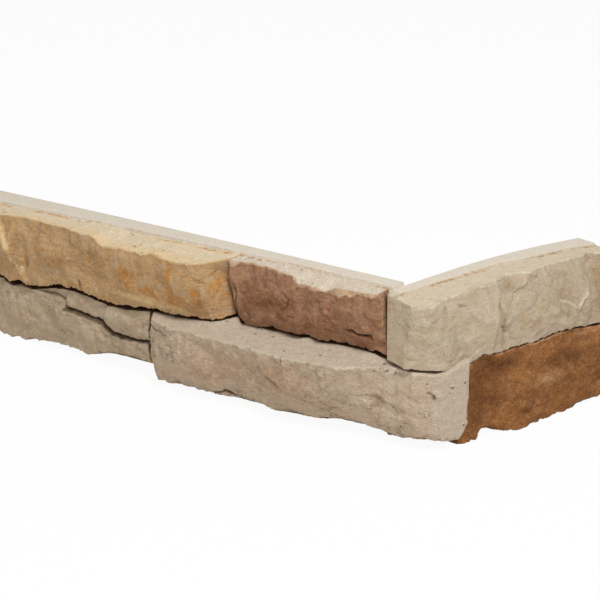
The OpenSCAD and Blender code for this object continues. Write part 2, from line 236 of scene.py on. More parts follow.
def makeStone(name, stone, material):
    leg, upper = stone["leg"], stone["course"] == "upper"
    a0, a1 = stone["from"], stone["to"]
    length = layout["longLength"] if leg == "long" else layout["shortLength"]
    rise = layout["longRise"] if leg == "long" else layout["shortRise"]
    # where a stone turns the corner its depth changes fast, so the sections stand closer there
    turning = stone.get("turning", 0)
    a = np.concatenate([np.arange(a0, a0 + turning, layout["gridStep"] / 4),
                        np.linspace(a0 + turning, a1, int((a1 - a0 - turning) / layout["gridStep"]) + 2)])
    seed = stone["seed"]
    facePoints = 78
    # hidden and visible corners of the section at each distance
    raggedTop = stone["ragged"] * (1.1 * wobble(a, 7, seed) + 0.9 * wobble(a, 3, seed + 5) + 0.5 * wobble(a, 1.3, seed + 9))
    raggedFoot = stone["ragged"] * (1.4 * wobble(a, 6, seed + 3) + 1.3 * wobble(a, 2.4, seed + 6) + 0.7 * wobble(a, 1.2, seed + 8))
    topDepth = alongEdge(stone["top"], a, 1) + raggedTop
    footDepth = alongEdge(stone["foot"], a, 1)
    if upper:
        crown = totalHeight - stone.get("drop", 0) + archedRise(a, length, rise)
        topHeight = crown - alongEdge(stone["top"], a, 2) - 0.35 * raggedTop
        footHeight = layout["lowerHeight"] + alongEdge(stone["foot"], a, 2) + layout["bedGap"] / 2 + raggedFoot
        rootDepth, roofDepth = [np.interp(a, [-16, -14], [d, layout["rootDepth"]]) for d in stone.get("nearRoot", (5, 5))]
        root = [rootDepth, footHeight + layout["bedGap"]]
        roof = [roofDepth, crown - 0.8]
        sole = [footDepth - 5, footHeight + layout["bedGap"] / 2]
    else:
        topHeight = layout["lowerHeight"] - alongEdge(stone["top"], a, 2) - 0.35 * raggedTop
        footHeight = np.maximum(alongEdge(stone["foot"], a, 2) + raggedFoot, 0.2)
        back = np.where(a < stone.get("turn", -1000), stone.get("turnDepth", 0), layout["rootDepth"])
        root = [back, np.where(a < stone.get("turn", -1000), stone.get("turnHeight", 0), layout["rootHeight"])]
        roof = [back, np.minimum(topHeight + stone["ledge"] * (topDepth - back), layout["lowerHeight"] + 4)]
        sole = [alongEdge(stone["sole"], a, 1), alongEdge(stone["sole"], a, 2)]
    top, foot = [topDepth, topHeight], [footDepth, footHeight]

    def leaning(along, depth, height):  # both ends lean with depth, and follow their joint's line with height
        near = np.clip(1 - (along - a0) / layout["fadeLength"], 0, 1)
        far = np.clip(1 - (a1 - along) / layout["fadeLength"], 0, 1)
        shift = (near * stone.get("nearTilt", 0) + far * stone.get("farTilt", 0)) * depth
        shift = shift + near * np.interp(height, *stone.get("nearLine", [[0, 1], [0, 0]]))
        return shift + far * np.interp(height, *stone.get("farLine", [[0, 1], [0, 0]])), near, far

    def straight(p, q, count):  # points between two corners of the section, without the last
        t = np.arange(count) / count
        return [p[n][:, None] + (q[n] - p[n])[:, None] * t for n in (0, 1)]

    roofPart = straight(roof, top, stone.get("roofPoints", 44))
    facePart = straight(top, foot, facePoints)
    solePart = straight(foot, sole, 10)
    backPart = straight(sole, root, 3)
    rootPart = straight(root, roof, 3)
    # the split face: bellied, swollen at the seen places, rough, faceted and cracked
    t = np.arange(facePoints) / facePoints
    wall = np.sin(np.pi * t)[None, :]
    ringPlace = np.broadcast_to(a[:, None], facePart[0].shape)
    height = facePart[1]
    along = ringPlace + leaning(ringPlace, facePart[0], height)[0]
    warpA = along + 5 * broadNoise(along / 15 + seed, height / 15)
    warpZ = height + 5 * broadNoise(along / 15, height / 15 + seed)
    coarse = layout["rough"] * (1.8 * broadNoise(along / 17 + seed, height / 13 + seed)
                                + 0.9 * broadNoise(along / 8 - seed, height / 7 + seed))
    size = layout["facetLength"]
    facets = layout["facetHeight"] * (facetRelief(warpA / size, warpZ / size, seed)
                                      + stone["chiselled"] * facetRelief(warpA / size * 2.6, warpZ / size * 2.6, seed + 20, 8))
    crackDepth = grooves(along, height, stone.get("cracks", []))
    facePart[0] = (facePart[0] + layout["belly"] * wall + swellings(along, height, stone["swells"]) * np.minimum(1, 2 * wall)
                   + coarse * (0.35 + 0.65 * wall) + facets * np.minimum(1, 0.25 + 2.2 * wall)
                   + steps(along, height, stone.get("steps", [])) - crackDepth)
    parts = [rootPart, roofPart, facePart, solePart, backPart]
    depth = np.concatenate([p[0] for p in parts], axis=1)
    height = np.concatenate([p[1] for p in parts], axis=1)
    widths = [p[0].shape[1] for p in parts]
    along = np.broadcast_to(a[:, None], depth.shape)
    shift, nearLean, farLean = leaning(along, depth, height)
    nearShare = stone.get("nearRagged", 0.3) * np.clip((depth - stone.get("raggedFrom", -100)) / 8, 0, 1)
    shift = shift + (nearLean ** 4 * nearShare + farLean ** 4 * stone.get("farRagged", 0.3)) * (
        broadNoise(depth / 6 + seed, height / 5) + 0.6 * broadNoise(depth / 2 + seed, height / 2))
    rings = np.stack([along + shift, depth, height], axis=-1)
    # fine relief along the normal: strong on the split face, faint on the moulded top
    faceMask = np.zeros(depth.shape)
    start = widths[0] + widths[1]
    faceMask[:, start:start + widths[2] + widths[3]] = 1
    faceMask[:, start - 2:start] = 0.5
    crackShadeMask = np.zeros(depth.shape)
    gapShadeMask = np.zeros(depth.shape)
    # the underside and back of an upper stone, in the bed joint, are marked for painted shade
    if upper:
        gapShadeMask[:, start + widths[2] + 1:] = 1
    # the crack grooves are marked for painted shade, by their depth
    crackShadeMask[:, start:start + widths[2]] = np.clip(crackDepth / 1.2, 0, 1)
    # pale band over the top arris, its width in mm ragged by noise: partly the pale cement that wraps over the arris,
    # partly a painted highlight on the lit edge
    bandWidth = alongEdge(stone.get("paleBandAndHighlightWidths", [(0, 0.6, 0)]), a, 1)[:, None] * (1 + 1.3 * wobble(a, 5, seed + 2) + 1.2 * wobble(a, 1.9, seed + 7))[:, None]
    below = topHeight[:, None] - height
    paleBandAndHighlightMask = np.clip(0.5 + (bandWidth - below) / 2.2, 0, 1) * faceMask
    # painted highlight: pale lines along the crests that the split left, where the light catches them
    for line, width, strength in stone.get("crestHighlightLines", []):
        gap = lineDistance(rings[..., 0] + 0.8 * wobble(height, 5, seed), height + 0.8 * wobble(along, 4, seed), line)[0]
        broken = 0.7 + 0.8 * broadNoise(along / 4 + seed, height / 4)
        paleBandAndHighlightMask = np.maximum(paleBandAndHighlightMask, strength * broken * np.exp(-(gap / width) ** 2) * faceMask)
    normal = surfaceNormals(rings)
    outward = np.sign(np.sum(normal[:, start + 20, 1]))
    if not upper:  # the open ledge climbs to the foot of the upper course, and its part under that foot is painted with shade
        x, y = [placeOnLeg(rings, leg)[..., n] for n in (0, 1)]
        roofMask = np.zeros(depth.shape)
        roofMask[:, widths[0]:start] = 1
        raised, beneath = riseToFoot(x, y, rings[..., 2], footLine)
        rings[..., 2] = rings[..., 2] + roofMask * (raised - rings[..., 2])
        gapShadeMask = np.maximum(gapShadeMask, beneath * roofMask)

    def splitRelief(points, endShare):  # noise of three sizes in mm, the widest only near a split end
        points = points * np.array([0.68, 0.8, 1.0])
        return stone["fine"] * (grainNoise(points, 5.0, 4, seed) + 0.5 * np.abs(grainNoise(points, 2.2, 2, seed + 2))
                                + stone.get("endRough", 0) * endShare * grainNoise(points, 10.0, 3, seed + 3))

    fine = faceMask * splitRelief(rings, np.clip(1 - (along - a0) / 34, 0, 1))
    fine = fine + 0.25 * paleBandAndHighlightMask * (grainNoise(rings, 2.0, 2, seed + 8) + 0.4)
    smooth = 0.25 * (1 - faceMask) * grainNoise(rings, 9.0, 3, seed + 4)
    visible = np.ones(depth.shape)
    visible[:, :widths[0]] = 0
    visible[:, -widths[4]:] = 0
    rings = rings + (normal * outward) * ((fine + smooth) * visible)[..., None]
    # both ends close by rings that shrink to the middle over a rounded rim
    shrink = np.array([0.995, 0.985, 0.965, 0.94, 0.91, 0.87, 0.82, 0.76, 0.69, 0.61, 0.53, 0.44, 0.34, 0.23, 0.11])
    eased = stone.get("easedEnd", 0.8)
    inside = np.clip((1 - shrink) / (0.045 * eased), 0, 1)
    outward = eased * np.sqrt(1 - (1 - inside) ** 2)

    def endRings(rim, sign, splitDepth):
        # The rim scaled to its middle. The moulded part bulges by its rounding, and the part in front
        # of the split depth goes on with the face's own relief, so that no edge shows between them
        middle = rim.mean(axis=0)
        cap = middle + (rim - middle) * shrink[:, None, None]
        split = np.clip((cap[..., 1] - splitDepth) / 7 + 1.0 * grainNoise(cap, 8.0, 3, seed + 1), 0, 1)
        split = split * split * (3 - 2 * split)
        onFace = np.clip((rim[:, 1] - splitDepth) / 5 + 0.5, 0, 1)
        inwards = np.maximum(np.minimum(1, (1 - shrink)[:, None] * 14), onFace)
        relief = split * inwards * splitRelief(cap, 1.0) + 0.3 * (1 - split) * inwards * grainNoise(cap, 9.0, 3, seed + 5)
        cap[..., 0] = cap[..., 0] + sign * (relief + outward[:, None] * np.clip((splitDepth + 5 - cap[..., 1]) / 16, 0, 1))
        return cap, split

    placed = rings[..., 0]
    first, firstSplit = endRings(rings[0], -1, stone.get("nearSplit", 100))
    last, lastSplit = endRings(rings[-1], 1, stone.get("farSplit", 100))
    rings = np.concatenate([first[::-1], rings, last])

    def padded(mask, near, far):  # a mask with the values of its end rings
        return np.concatenate([(0 * firstSplit + near)[::-1], mask, 0 * lastSplit + far])

    # joints are painted with shade below a depth in front of the back; the rest of an end has its face's colour
    mouldNear, mouldFar = stone.get("nearMould", 1), stone.get("farMould", 1)
    nearDark = np.clip((stone.get("nearDark", -100) - depth) / 2.5, 0, 1)
    farDark = np.clip((stone.get("farDark", -100) - depth) / 2.5, 0, 1)
    jointShadeMask = np.maximum(nearDark * np.clip(1 - (along - a0) / 1.2, 0, 1), farDark * np.clip(1 - (a1 - along) / 1.2, 0, 1))
    jointShadeMask = jointShadeMask * np.clip((totalHeight - 2.5 - height) / 2, 0, 1)
    jointShadeNear = np.clip((stone.get("nearDark", -100) - first[..., 1]) / 2.5, 0, 1) * np.clip((totalHeight - 2.5 - first[..., 2]) / 2, 0, 1)
    jointShadeFar = np.clip((stone.get("farDark", -100) - last[..., 1]) / 2.5, 0, 1) * np.clip((totalHeight - 2.5 - last[..., 2]) / 2, 0, 1)
    arris = mouldNear * np.clip(1 - (along - a0) / stone.get("arrisFade", 0.01), 0, 1) ** 1.5
    arris = np.where(depth > stone.get("nearSplit", 100), 0, arris)
    # specks of pigment beside the backing's front edge, on top of the upper stones
    line = backing["longLine"] if leg == "long" else backing["shortLine"]
    besideBacking = np.exp(-((depth - np.interp(along, [p[0] for p in line], [p[1] for p in line]) - 2.4) / 3.2) ** 2)
    seamMask = besideBacking * (height > totalHeight - 9) * (1 - faceMask) * np.clip(0.75 + 2.2 * broadNoise(along / 26 + seed, 0 * along), 0, 1)
    top = 1 - faceMask
    # the light patches are painted light on the split face, and join the pale band's mask
    marks = {word: np.clip(swellings(placed, height, stone.get(word, [])), 0, 1) * faceMask for word in ("stain", "tint", "light")}
    paleBandAndHighlightMask = np.maximum(paleBandAndHighlightMask, 0.6 * marks["light"])
    tags = {
        "mould": padded(np.maximum(top, arris), mouldNear * (1 - firstSplit), mouldFar * (1 - lastSplit)),
        "sunk": padded(top * np.clip((depth - stone.get("warmDepth", 30)) / 14, 0, 1), 0, 0),
        "crack": padded(crackShadeMask, 0, 0),
        "gap": padded(np.maximum(gapShadeMask, jointShadeMask), jointShadeNear, jointShadeFar),
        "stain": padded(marks["stain"], 0, 0),
        "tint": padded(marks["tint"], 0, 0),
        # the near end can be painted lighter: painted light on an end in its neighbour's shade
        "chipAndHighlight": padded(paleBandAndHighlightMask, stone.get("nearPaintedLight", 0), 0),
        "seam": padded(seamMask, 0, 0),
    }
    piece = makeMesh(name, placeOnLeg(rings, leg), material, tags)
    print(name, "made:", len(piece.data.polygons), "faces")
    return piece


def toLinear(hexColour):  # sRGB hex to linear: ((c + 0.055) / 1.055) ** 2.4, straight below 0.04045
    values = [int(hexColour[n:n + 2], 16) / 255 for n in (1, 3, 5)]
    return tuple(v / 12.92 if v <= 0.04045 else ((v + 0.055) / 1.055) ** 2.4 for v in values) + (1.0,)


def addNode(tree, kind, inputs, output=0, **settings):
    # Adds one node, sets its settings, gives each input a value or a link, and returns one output
    node = tree.nodes.new("ShaderNode" + kind)
    for key, value in settings.items():
        setattr(node, key, value)
    for key, value in inputs.items():
        if isinstance(value, bpy.types.NodeSocket):
            tree.links.new(value, node.inputs[key])
        else:
            node.inputs[key].default_value = value
    return node.outputs[output] if len(node.outputs) else node


# size in mm, detail and roughness of each noise; sand grain of 0.5 to 1 mm is drawn at 1.1 mm,
# because the render shows about 0.7 mm to a pixel
noises = {"mottle": (12.0, 4, 0.6), "streak": (4.6, 5, 0.72), "cloud": (5.0, 4, 0.65), "crumb": (2.8, 4, 0.72),
          "blotch": (3.4, 4, 0.7), "grain": (1.1, 3, 0.75), "fleck": (1.8, 4, 0.8), "wide": (26.0, 3, 0.55), "cluster": (15.0, 2, 0.5)}

# Colour layers from the mix to the surface: paint, then tag and its share, noise and its share, the
# range of their sum over which the layer comes in, and the look's own strength for it
layers = [
    ("second", None, 0.0, "mottle", 1.0, 0.36, 0.64, "secondAmount"),
    ("cloud", None, 0.0, "cloud", 1.0, 0.45, 0.72, "cloudAmount"),
    ("streak", "stain", 0.2, "streak", 1.0, 0.56, 0.74, "streakAmount"),
    ("tint", "tint", 0.45, "crumb", 0.8, 0.45, 0.9, "tintAmount"),
    # this layer paints the pale band's mask: the pale cement of chipped arrises, painted highlight on lit edges and
    # crests, and painted light; the next layer uses the same colour for sand flecks
    ("chipAndHighlight", "chipAndHighlight", 0.8, "crumb", 0.8, 0.62, 0.95, "chipAndHighlightAmount"),
    ("chipAndHighlight", None, 0.0, "fleck", 1.0, 0.56, 0.72, "fleckAmount"),
    ("mould", "mould", 1.0, "crumb", 0.7, 0.62, 1.05, "mouldAmount"),
    ("mouldSecond", "sunk", 1.0, "wide", 0.9, 0.85, 1.3, "warmAmount"),
    ("speck", "seam", 0.45, "crumb", 1.0, 0.84, 0.98, "speckAmount"),
]


def pigmentedConcrete(name, look):
    # Wet-cast concrete, coloured in the mix and dusted with pigment in the mould: matt, IOR about
    # 1.5, roughness near 0.9, with sand grain, hairline cracks and small air pits
    material = bpy.data.materials.new(name)
    material.use_nodes = True
    tree = material.node_tree
    tree.nodes.clear()
    place = addNode(tree, "TexCoord", {}, "Object")
    # patterns run along the courses, so across the ground they are drawn half as long again as high
    millimetres = addNode(tree, "VectorMath", {0: place, 1: (680.0, 680.0, 1000.0)}, operation="MULTIPLY")
    field = {word: addNode(tree, "TexNoise", {"Vector": millimetres, "Scale": 1 / size, "Detail": detail, "Roughness": rough})
             for word, (size, detail, rough) in noises.items()}
    tag = {word: addNode(tree, "Attribute", {}, "Fac", attribute_name=word)
           for word in ("mould", "sunk", "gap", "crack", "stain", "tint", "chipAndHighlight", "seam")}
    colour = addNode(tree, "Mix", {0: 0.0, 6: toLinear(look["base"]), 7: toLinear(look["base"])}, 2, data_type="RGBA")
    amount = {}
    for paint, tagWord, tagShare, noiseWord, noiseShare, low, high, strength in layers:
        total = addNode(tree, "Math", {0: field[noiseWord], 1: noiseShare}, operation="MULTIPLY")
        if tagWord:
            total = addNode(tree, "Math", {0: tag[tagWord], 1: tagShare, 2: total}, operation="MULTIPLY_ADD")
        most = look.get(strength, 1.0)
        amount[paint] = addNode(tree, "MapRange", {0: total, 1: low, 2: high, 3: 0.0, 4: most})
        colour = addNode(tree, "Mix", {0: amount[paint], 6: colour, 7: toLinear(look[paint])}, 2, data_type="RGBA")
    # grain and blotches darken and lighten the colour by their share of it
    for word, share in (("grain", look["grain"]), ("blotch", 0.6 * look["grain"])):
        level = addNode(tree, "MapRange", {0: field[word], 1: 0.3, 2: 0.7, 3: 1 - share, 4: 1 + share})
        colour = addNode(tree, "Mix", {0: 1.0, 6: colour, 7: level}, 2, data_type="RGBA", blend_type="MULTIPLY")
    # hairline cracks: thin borders of bent cells 16 mm wide, open only where a noise is high, and painted with shade in
    # the hollow colour
    bent = addNode(tree, "VectorMath", {0: addNode(tree, "TexNoise", {"Vector": millimetres, "Scale": 0.16, "Detail": 4.0}, "Color"),
                                        1: (14.0, 14.0, 14.0), 2: millimetres}, operation="MULTIPLY_ADD")
    border = addNode(tree, "TexVoronoi", {"Vector": bent, "Scale": 1 / 16.0}, "Distance", feature="DISTANCE_TO_EDGE")
    thin = addNode(tree, "MapRange", {0: border, 1: 0.012, 2: 0.04, 3: 1.0, 4: 0.0})
    opened = addNode(tree, "MapRange", {0: field["cluster"], 1: 0.5, 2: 0.62, 3: 0.0, 4: look.get("hairlines", 0.5)})
    onSplit = addNode(tree, "MapRange", {0: amount["mould"], 1: 0.0, 2: 1.0, 3: 1.0, 4: 0.25})
    opened = addNode(tree, "Math", {0: opened, 1: onSplit}, operation="MULTIPLY")
    hairline = addNode(tree, "Math", {0: thin, 1: opened}, operation="MULTIPLY")
    # air pits 0.5 to 1.5 mm wide and 5 to 8 mm apart, in clusters, painted with shade in the hollow colour
    cell = addNode(tree, "TexVoronoi", {"Vector": millimetres, "Scale": 1 / look["pitSpacing"], "Randomness": 1.0}, "Distance")
    radius = addNode(tree, "MapRange", {0: field["cluster"], 1: 0.36, 2: 0.6, 3: 0.0, 4: 0.8 / look["pitSpacing"]})
    pit = addNode(tree, "Math", {0: cell, 1: radius}, operation="LESS_THAN")
    pitPlace = addNode(tree, "MapRange", {0: amount["mould"], 1: 0.0, 2: 1.0, 3: look["pitsOnFace"], 4: look["pitsOnMould"]})
    pit = addNode(tree, "Math", {0: pit, 1: pitPlace}, operation="MULTIPLY")
    # hairlines, pits and crack grooves take painted shade in the hollow colour, and the gap mask takes the painted
    # shade of joints and bed joints
    marks = [(hairline, 0.55, look["hollowShade"]), (pit, 0.75, look["hollowShade"]), (tag["crack"], 0.85, look["hollowShade"]), (tag["gap"], 0.95, "#6e4f33")]
    for mark, share, paint in marks:
        part = addNode(tree, "Math", {0: mark, 1: share}, operation="MULTIPLY")
        colour = addNode(tree, "Mix", {0: part, 6: colour, 7: toLinear(paint)}, 2, data_type="RGBA")
    height = addNode(tree, "Math", {0: pit, 1: -0.8}, operation="MULTIPLY")
    for part, share in ((field["grain"], 0.5), (field["blotch"], 0.9), (field["cloud"], 0.8), (hairline, -0.5)):
        height = addNode(tree, "Math", {0: part, 1: share, 2: height}, operation="MULTIPLY_ADD")
    bump = addNode(tree, "Bump", {"Strength": look.get("bump", 0.9), "Distance": 0.0016, "Height": height})
    shader = addNode(tree, "BsdfPrincipled", {"Base Color": colour, "Roughness": 0.92, "IOR": 1.5,
                                              "Specular IOR Level": 0.25, "Normal": bump})
    addNode(tree, "OutputMaterial", {"Surface": shader})
    return material


# the plain backing of both legs
backing = {
    "easedEdge": 6.0,
    "longLine": [(-16, 14), (30, 13.8), (82, 14), (150, 15.8), (270, 20), (393, 24.4), (440, 25)],  # front edge at the top: distance, depth
    "shortLine": [(-15, 9.2), (17, 9.8), (113, 15.9), (141, 16), (175, 17.2), (190, 17.4)],
}

# upper course, long leg: the yellow stone
ochre = {
    "leg": "long", "course": "upper", "from": 128.2, "to": 438.6, "seed": 3, "ragged": 1.0, "easedEnd": 0.4,
    "chiselled": 0.35, "fine": 1.0, "farTilt": -0.25, "nearMould": 0, "nearDark": 29, "roofPoints": 50,
    "paleBandAndHighlightWidths": [(131, 0.6), (170, 0.8), (240, 0.3), (262, -0.3), (440, -0.2)],
    "nearLine": [[54, 60, 66, 74, 86, 94, 97], [-1.0, 2.4, 3.8, 5.4, 9.6, 9.3, 8.4]],
    "top": [(440, 47, 3), (362, 48, 3), (341, 44, 2.5), (287, 46, 2.5), (269, 49, 3), (260, 47, 3), (251, 49, 6.5),
            (243, 50, 8), (224, 50, 6.5), (201, 50, 6.5), (193, 49, 4.5), (182, 50, 6), (162, 50, 6.5),
            (150, 49, 5.5), (141, 47, 4.5), (135.5, 42, 3.5), (131.5, 34, 2.8), (128, 26, 2.5)],
    "foot": [(440, 44, -4), (371, 44, -3.5), (359, 44, -8), (349, 44, -4.5), (336, 44, -6.5), (320, 44, -4),
             (302, 44, 0), (288, 43, 0.5), (267, 42, -2), (243, 40, -5), (228, 40, -3), (197, 40, 0.5),
             (182, 40, -0.5), (162, 40, 1.5), (142, 39, 3), (136, 36, 4), (131, 31, 5.5), (128, 27, 6.5)],
    "swells": [(352, 76, 7, 30, 3), (262, 70, 26, 20, -3), (215, 66, 22, 18, 3), (160, 74, 24, 20, 3)],
    # painted light on the lower edge, which faces down
    "light": [(420, 60, 60, 9, 0.7), (300, 58, 70, 7, 0.5), (210, 59, 60, 9, 1.0), (170, 57, 30, 7, 0.9)],
    "crestHighlightLines": [([(365, 94), (362, 85.5), (354, 74.5), (347, 64.4), (342, 56)], 4.5, 0.95)],
    "steps": [{"line": [(364, 98), (360.4, 85.5), (351.4, 74.5), (342.4, 64.4), (337, 50)], "rise": 3.4, "soft": 1.2, "fade": 8, "open": 1},
              {"line": [(208, 58), (187, 55.4), (171.6, 54), (151, 57), (130, 63)], "rise": 1.6, "soft": 0.6, "fade": 6}],
    "cracks": [{"line": [(278, 61.5), (277.4, 57.5), (277.1, 53)], "depth": 1.4, "width": 0.45, "open": 1}],
    "stain": [(257, 79, 22, 14, 0.7), (221, 74, 15, 18, 1.1), (200, 66, 22, 10, 1.0), (175, 77, 8, 24, 1.2), (169, 66, 18, 10, 0.9),
              (149, 72, 7, 20, 1.1), (139, 80, 6, 18, 1.1), (132, 74, 6, 16, 0.9), (300, 74, 30, 16, 0.5), (395, 74, 24, 22, 0.5)],
    "tint": [(347, 78, 5, 18, 1.2), (338, 64, 5, 12, 1.0), (160, 78, 30, 20, 0.3), (300, 70, 40, 12, 0.6), (270, 84, 30, 12, 0.7), (395, 60, 40, 10, 0.5)],
}
ochreLook = {"fleckAmount": 0.22, "base": "#cba577", "second": "#bb9467", "streak": "#ba803f", "streakAmount": 0.9, "cloud": "#b9a78d", "cloudAmount": 0.7,
             "tint": "#94714a", "tintAmount": 0.55, "chipAndHighlight": "#dfc290", "mould": "#decaab", "mouldSecond": "#dec18f", "warmAmount": 0.6,
             "speck": "#c39257", "grain": 0.17, "pitSpacing": 5.0, "pitsOnMould": 1.0, "pitsOnFace": 0.15, "hollowShade": "#6a4c2e", "hairlines": 0.5}

# upper course, long leg: the pinkish brown stone
russet = {
    "leg": "long", "course": "upper", "from": -0.7, "to": 125.9, "seed": 11, "ragged": 1.0, "easedEnd": 0.4,
    "chiselled": 0.6, "fine": 1.3, "nearTilt": -0.25, "roofPoints": 34,
    "farMould": 0, "farDark": 60, "nearMould": 0, "nearDark": 22, "nearPaintedLight": 0.45, "nearLine": [[54, 76, 98], [-0.5, 2.6, 5.2]],
    "paleBandAndHighlightWidths": [(-4, 2), (8, 2), (20, 3.5), (34, 3.5), (46, 1), (56, 3), (68, 2.5), (80, 0.6), (100, 0.5), (112, 1.5), (127, 3)],
    "farLine": [[54, 60, 66, 74, 86, 94, 97], [-1.0, 2.4, 3.8, 5.4, 9.6, 9.3, 10.0]],
    "top": [(126, 27, 3), (122, 32, 3), (117, 31, 2.5), (111, 28, 2), (99, 29, 2), (74, 30, 3), (68, 30, 8), (52, 31, 7.5),
            (44, 31, 9), (32, 31, 4.5), (14, 32, 3.5), (2, 32, 3), (-2, 27, 2.5)],
    "foot": [(126, 25, 0.5), (118, 25, 1), (91, 24, 3), (74, 24, 2), (63, 24, 4.5), (55, 24, 3), (41, 24, 4.5),
             (33, 24, 5), (17, 24, 5.5), (4, 24, 5), (-2, 23, 3.5)],
    "swells": [(104, 74, 18, 18, 2), (58, 78, 16, 14, -2), (16, 70, 18, 16, 2), (-8, 78, 14, 60, -4)],
    "cracks": [{"line": [(29.4, 69.5), (18.6, 70.2), (15, 68.9), (4.4, 69.6), (3, 65)], "depth": 2.4, "width": 0.6},
               {"line": [(82, 87), (76.4, 81.3), (77.4, 76.2), (84, 70.8)], "depth": 0.9, "width": 0.5},
               {"line": [(77.4, 69.9), (71.7, 68.9)], "depth": 1.2, "width": 0.5, "open": 1},
               {"line": [(127.4, 84), (124.5, 77), (127, 67)], "depth": 1.3, "width": 0.8}],
    "steps": [{"line": [(36, 66), (18, 66.5), (3, 63)], "rise": -1.6, "soft": 0.5, "fade": 7},
              {"line": [(84, 100), (76, 82), (86, 66)], "rise": 1.6, "soft": 0.8, "fade": 8}],
    "stain": [(90, 76, 34, 18, 0.9), (40, 74, 26, 16, 0.9)],
    "tint": [(16, 62, 16, 8, 0.9), (84, 74, 8, 16, 0.8), (108, 80, 18, 16, 0.9), (60, 68, 20, 8, 0.7), (118, 70, 8, 20, 0.7)],
}
russetLook = {"fleckAmount": 0.35, "base": "#ab8163", "second": "#966c4f", "streak": "#87583b", "streakAmount": 0.8, "cloud": "#b5917a", "cloudAmount": 0.55,
              "tint": "#703f1c", "tintAmount": 0.55, "chipAndHighlight": "#cba98a", "mould": "#d6c7b2", "mouldSecond": "#cbab8e", "warmAmount": 0.9,
              "speck": "#b98f68", "grain": 0.2, "pitSpacing": 6.0, "pitsOnMould": 0.8, "pitsOnFace": 0.2, "hollowShade": "#4e3222", "hairlines": 0.55}

# upper course, short leg: the cream corner stone
cream = {
    "leg": "short", "course": "upper", "from": -24.6, "to": 188.6, "turning": 7, "seed": 23, "warmDepth": 60, "ragged": 0.9, "drop": 1.0,
    "chiselled": 0.55, "fine": 0.7, "farTilt": -0.25, "nearTilt": -0.25, "nearMould": 0.3, "nearSplit": 19, "nearRagged": 1.5, "raggedFrom": 15, "easedEnd": 1.6, "endRough": 1.0, "roofPoints": 40,
    "nearRoot": (10, 4), "paleBandAndHighlightWidths": [(-27, 1.5), (-10, 1), (30, 0.5), (60, 0.5), (90, 1), (140, 0.6), (190, 0.8)],
    "nearLine": [[53, 62, 76, 98], [0.3, 1.2, 2.8, 5.6]],
    "top": [(-26, 24, 3), (-23, 33, 3), (-18.6, 41.5, 2.5), (-10, 39, 2), (-1, 36, 1.5), (22, 36, 1.5), (40, 38, 1.5),
            (58, 34, 1.5), (68, 31, 1.5), (84, 38, 1.5), (117, 34, 1.5), (133, 36, 1.5), (159, 31, 1.5),
            (168, 34, 1.5), (190, 33, 1.5)],
    "foot": [(-26, 26, 0.5), (-19, 36, 0.5), (-13, 46, 0), (-5, 48, -1.5), (1, 47, -3), (14, 46, -1), (26, 46, 2), (46, 46, 0),
             (62, 46, 0.5), (87, 46, -0.5), (108, 46, 1), (129, 46, 0.3), (156, 46, -2.4), (190, 45, -2)],
    "swells": [(-8, 76, 16, 30, 1.5), (46, 78, 8, 30, 2), (66, 88, 12, 14, -2), (100, 72, 20, 22, 2), (140, 80, 9, 26, 2)],
    "crestHighlightLines": [([(66.8, 86.7), (71.2, 90.2), (76.7, 92.8), (83.5, 95.9)], 1.3, 0.65), ([(31, 54), (34, 62), (36, 70), (39, 79)], 2.4, 0.35),
                  ([(111.7, 75.6), (121.6, 72.3), (128.5, 67.9), (133.3, 71.6), (138.7, 76)], 0.9, 0.75)],
    "steps": [{"line": [(33.5, 50), (34.6, 60.7), (36.8, 69.2), (39.3, 77.4), (42.9, 85.3), (47.8, 90.1), (48.8, 103)], "rise": 4.4, "soft": 0.9, "fade": 12, "open": 1},
              {"line": [(66.8, 86.7), (71.2, 90.2), (76.7, 92.8), (84, 99)], "rise": 2.2, "soft": 0.7, "fade": 6, "open": 1},
              {"line": [(143, 84), (141, 80), (138.7, 76), (133.3, 71.6), (128.5, 67.9), (121.6, 72.3), (111.7, 75.6)], "rise": 2.4, "soft": 0.6, "fade": 10, "open": 0.6}],
    "cracks": [{"line": [(56.7, 63.7), (48, 69.9), (42.6, 72.5)], "depth": 0.9, "width": 0.5}, {"line": [(139.7, 75), (132.4, 68.7), (125.7, 63.1)], "depth": 0.8, "width": 0.7}],
    "stain": [(100, 76, 50, 24, 0.6), (172, 74, 36, 30, 1.2)],
    "tint": [(49, 74, 8, 30, 0.8), (84, 68, 14, 12, 0.4), (66, 94, 9, 7, 0.8), (2, 64, 12, 10, 0.35), (140, 62, 22, 10, 0.4), (160, 78, 10, 20, 0.5),
             (178, 76, 44, 40, 1.2), (122, 80, 34, 26, 0.6)],
}
creamLook = {"fleckAmount": 0.15, "base": "#c4b39d", "second": "#bba68b", "streak": "#b5996f", "streakAmount": 0.6, "cloud": "#c8baa5", "cloudAmount": 0.5,
             "tint": "#9f8360", "tintAmount": 0.7, "chipAndHighlight": "#d6c8b1", "mould": "#d2c2a8", "mouldSecond": "#cdbb9f",
             "speck": "#b08858", "grain": 0.14, "pitSpacing": 6.0, "pitsOnMould": 0.8, "pitsOnFace": 0.2, "hollowShade": "#84694a", "hairlines": 0.35}

